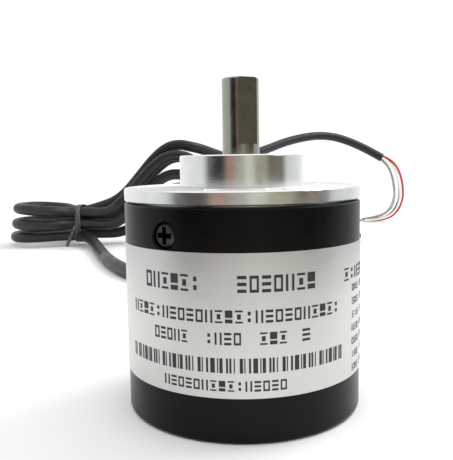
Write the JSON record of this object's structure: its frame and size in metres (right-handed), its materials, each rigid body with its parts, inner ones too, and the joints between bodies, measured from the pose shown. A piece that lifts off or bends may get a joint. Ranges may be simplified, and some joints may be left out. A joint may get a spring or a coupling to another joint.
{
  "type": "rotary encoder",
  "caption": "Incremental rotary encoder: round housing with a machined flange and pilot boss, D-cut shaft on ball bearings, optical code disc inside and a tied-up signal cable.",
  "frame": {"origin": "centre of the cover's flat base, on the shaft's axis", "axes": "+Z along the shaft towards its free end, +Y towards the side where the cable leaves"},
  "size_m": [0.2177, 0.3186, 0.0573],
  "materials": {
    "machined_aluminium": "turned, bright",
    "black_abs": "fine matte moulding",
    "black_oxide": "black oxide, satin",
    "label_foil": "satin silver foil with black print",
    "bearing_steel": "ground and polished",
    "cage_steel": "pressed",
    "spring_steel": "oiled",
    "shaft_steel": "ground stainless",
    "turned_brass": "turned",
    "disc_glass": "clear with a printed track",
    "holder_plastic": "matte",
    "lamp_resin": "clear tinted",
    "board_green": "solder mask",
    "chip_black": "moulded epoxy",
    "can_aluminium": "drawn",
    "solder_tin": "soft bright",
    "screw_steel": "zinc plated",
    "grommet_rubber": "soft black",
    "strap_nylon": "natural nylon",
    "cable_jacket": "soft black jacket, satin",
    "tie_plastic": "plastic-covered wire",
    "wire_red": "thin insulation",
    "wire_black": "thin insulation",
    "wire_green": "thin insulation",
    "wire_white": "thin insulation",
    "wire_shield": "tinned copper strands"
  },
  "bodies": {
    "housing": {"housing_flange": "machined_aluminium", "rear_cover": "black_abs", "cover_screws": "black_oxide", "rating_label": "label_foil", "preload_spring_washer": "spring_steel", "lamp_holder": "holder_plastic", "lamp_holder_screws": "screw_steel", "lamp_emitter": "lamp_resin", "lamp_leads": "solder_tin", "reticle": "disc_glass", "reticle_holder": "holder_plastic", "photosensor": "chip_black", "circuit_board": "board_green", "board_standoffs": "turned_brass", "board_screws": "screw_steel", "comparator_chip": "chip_black", "voltage_regulator": "chip_black", "output_transistors": "chip_black", "board_resistors": "chip_black", "board_capacitors": "can_aluminium", "solder_joints": "solder_tin", "cable_grommet": "grommet_rubber", "cable_strap": "strap_nylon", "cable_lead": "cable_jacket", "cable_hank": "cable_jacket", "cable_free_end": "cable_jacket", "cable_twist_tie": "tie_plastic", "front_bearing_outer_ring": "bearing_steel", "front_bearing_shields": "cage_steel", "rear_bearing_outer_ring": "bearing_steel", "rear_bearing_shields": "cage_steel", "inner_wire_red": "wire_red", "core_red": "wire_red", "inner_wire_black": "wire_black", "core_black": "wire_black", "inner_wire_green": "wire_green", "core_green": "wire_green", "inner_wire_white": "wire_white", "core_white": "wire_white", "inner_wire_shield": "wire_shield", "core_shield": "wire_shield"},
    "rotor": {"shaft": "shaft_steel", "front_bearing_inner_ring": "bearing_steel", "rear_bearing_inner_ring": "bearing_steel", "front_retaining_clip": "spring_steel", "rear_retaining_clip": "spring_steel", "code_disc_hub": "turned_brass", "hub_grub_screw": "black_oxide", "code_disc": "disc_glass"},
    "front_ball_set": {"front_bearing_balls": "bearing_steel", "front_bearing_cage": "cage_steel"},
    "rear_ball_set": {"rear_bearing_balls": "bearing_steel", "rear_bearing_cage": "cage_steel"}
  },
  "joints": [
    {"name": "shaft_spin", "type": "hinge", "parent": "housing", "child": "rotor", "pos_m": [0, 0, 0.0355], "axis": [0, 0, 1], "continuous": true},
    {"name": "front_balls_roll", "type": "hinge", "parent": "housing", "child": "front_ball_set", "pos_m": [0, 0, 0.0367], "axis": [0, 0, 1], "continuous": true},
    {"name": "rear_balls_roll", "type": "hinge", "parent": "housing", "child": "rear_ball_set", "pos_m": [0, 0, 0.0279], "axis": [0, 0, 1], "continuous": true}
  ],
  "couplings": [
    {"joint": "front_balls_roll", "follows": "shaft_spin", "ratio": 0.3979},
    {"joint": "rear_balls_roll", "follows": "shaft_spin", "ratio": 0.3979}
  ]
}
